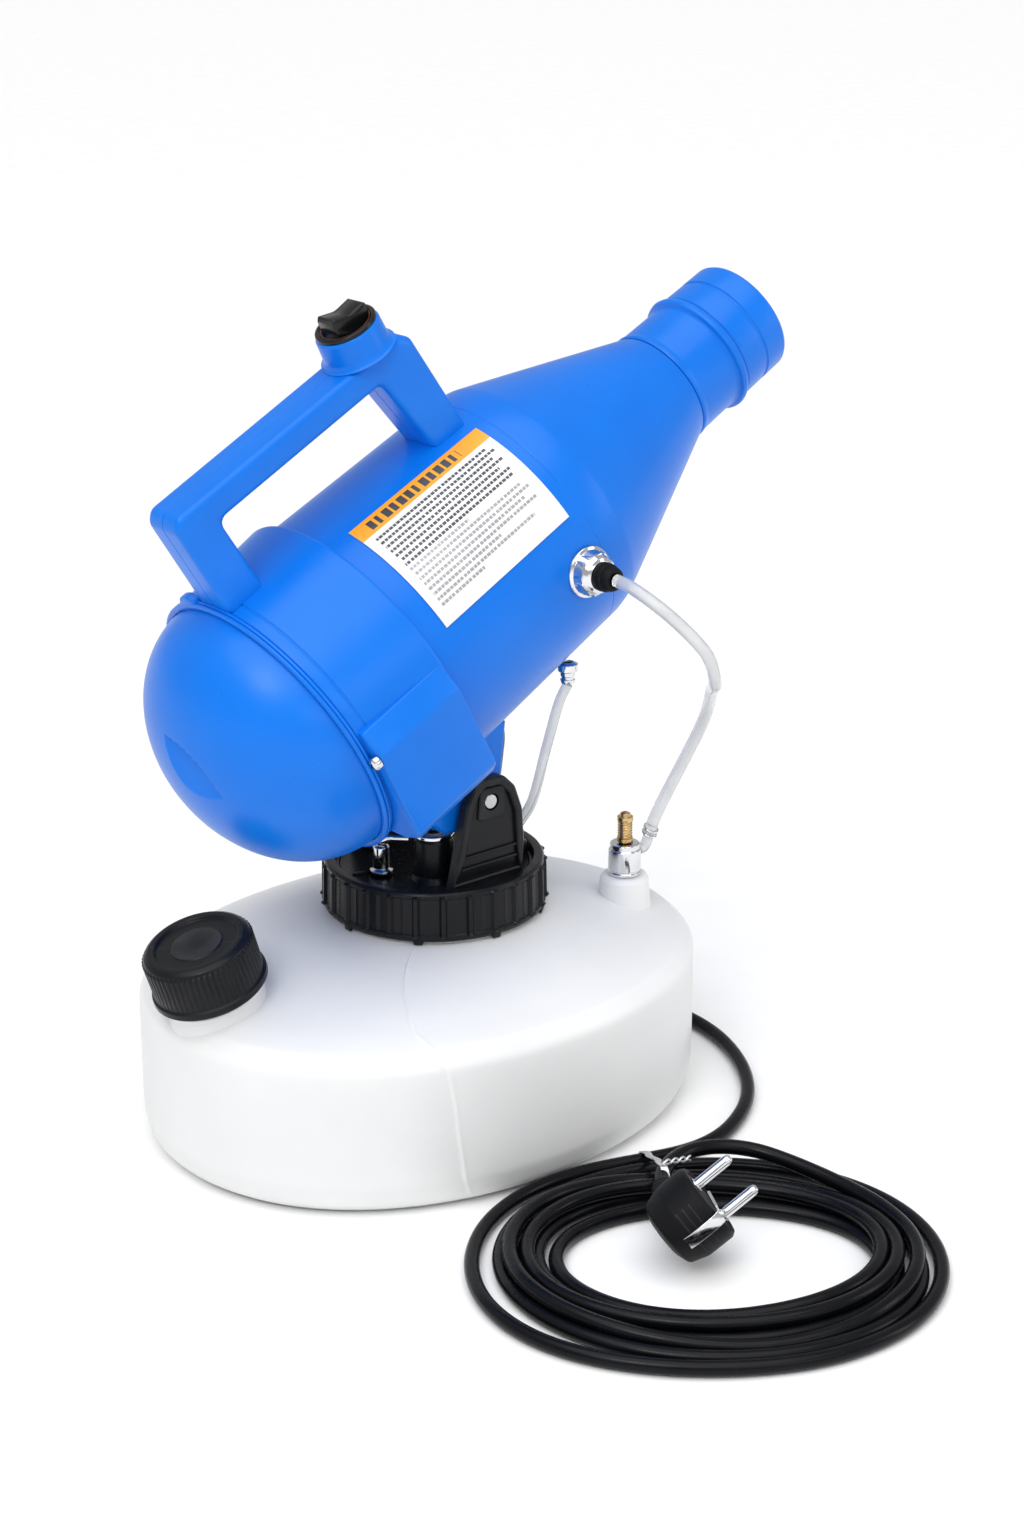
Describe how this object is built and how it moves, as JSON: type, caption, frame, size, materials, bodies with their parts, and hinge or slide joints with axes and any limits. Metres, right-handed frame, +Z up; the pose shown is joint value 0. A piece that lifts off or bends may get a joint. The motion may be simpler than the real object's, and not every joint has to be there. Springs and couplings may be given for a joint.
{
  "type": "electrostatic disinfectant sprayer",
  "caption": "Corded cold-fog sprayer head with carrying handle, clamped by a ring on an oval liquid tank, for spreading disinfectant mist.",
  "frame": {"origin": "centre of the tank foot, on the surface it stands on", "axes": "+Z up, +X towards the nozzle end, so -Y is the side with the label and the liquid inlet"},
  "size_m": [0.3667, 0.4223, 0.3954],
  "materials": {
    "blue_shell": "satin moulded ABS",
    "tank_hdpe": "translucent blow-moulded HDPE",
    "black_plastic": "semi-matte moulded",
    "black_rubber": "matte",
    "cord_black": "satin PVC sheath",
    "chrome": "bright plated",
    "steel": "machined",
    "brass": "turned",
    "clear_pvc": "clear flexible PVC",
    "label_film": "printed film",
    "grey_plastic": "matte"
  },
  "bodies": {
    "base": {"rear_dome": "blue_shell", "seam_ring": "blue_shell", "jacket_shell": "blue_shell", "front_shell": "blue_shell", "nozzle_sleeve": "blue_shell", "nozzle_tip": "blue_shell", "body_saddle": "blue_shell", "handle_half_near": "blue_shell", "handle_half_far": "blue_shell", "switch_boss": "blue_shell", "tank_shell": "tank_hdpe", "head_plate": "black_plastic", "switch_bezel": "black_plastic", "switch_body": "black_plastic", "hv_module": "black_plastic", "swirl_core": "black_plastic", "head_gasket": "black_rubber", "inlet_grommet": "black_rubber", "mount_ring": "black_rubber", "cord_gland": "black_rubber", "plug_body": "black_rubber", "cord_lead": "cord_black", "cord_coil": "cord_black", "cord_tail": "cord_black", "outlet_sleeve": "chrome", "pillar_washer": "chrome", "tap_stud": "chrome", "inlet_nut": "chrome", "air_fitting": "chrome", "plug_pin_near": "chrome", "plug_pin_far": "chrome", "earth_clip": "chrome", "yoke_bolt": "steel", "motor_case": "steel", "stator": "steel", "rear_bearing": "steel", "front_bearing": "steel", "block_screw": "steel", "liquid_jet": "brass", "electrode_ring": "brass", "feed_hose": "clear_pvc", "air_hose": "clear_pvc", "outlet_elbow": "clear_pvc", "liquid_line": "clear_pvc", "dip_tube": "clear_pvc", "label": "label_film", "front_bracket": "grey_plastic", "fan_shroud": "grey_plastic", "carbon_brush_near": "grey_plastic", "carbon_brush_far": "grey_plastic"},
    "collar": {"collar_ring": "black_plastic"},
    "cap_liner": {"filler_cap_liner": "tank_hdpe"},
    "cap": {"filler_cap": "black_plastic"},
    "rocker": {"rocker": "black_plastic"},
    "rotor": {"motor_shaft": "steel", "armature": "steel", "commutator": "brass", "impeller": "grey_plastic"},
    "tap": {"tap_lever": "chrome"},
    "valve": {"valve_stem": "brass"}
  },
  "joints": [
    {"name": "collar_turn", "type": "hinge", "parent": "base", "child": "collar", "pos_m": [0.00825, 0, 0.11], "axis": [0, 0, 1], "range_deg": [0, 360]},
    {"name": "cap_lift", "type": "slide", "parent": "base", "child": "cap_liner", "axis": [-0.309, 0, 0.9511], "range_m": [0, 0.006]},
    {"name": "cap_turn", "type": "hinge", "parent": "cap_liner", "child": "cap", "pos_m": [-0.12318, 0, 0.10102], "axis": [-0.309, 0, 0.9511], "range_deg": [0, 540]},
    {"name": "switch_rock", "type": "hinge", "parent": "base", "child": "rocker", "pos_m": [-0.03741, 0, 0.38457], "axis": [0, -1, 0], "range_deg": [0, 16]},
    {"name": "motor_spin", "type": "hinge", "parent": "base", "child": "rotor", "pos_m": [-0.015, 0, 0.2442], "axis": [0.8834, 0, 0.4687], "continuous": true},
    {"name": "tap_turn", "type": "hinge", "parent": "base", "child": "tap", "pos_m": [-0.021, 0.003, 0.139], "axis": [0, 0, 1], "range_deg": [0, 90]},
    {"name": "flow_valve_turn", "type": "hinge", "parent": "base", "child": "valve", "pos_m": [0.099, -0.035, 0.12], "axis": [0, 0, 1], "range_deg": [0, 270]}
  ],
  "couplings": [
    {"joint": "cap_turn", "follows": "cap_lift", "rad_per_m": 1570.8}
  ]
}
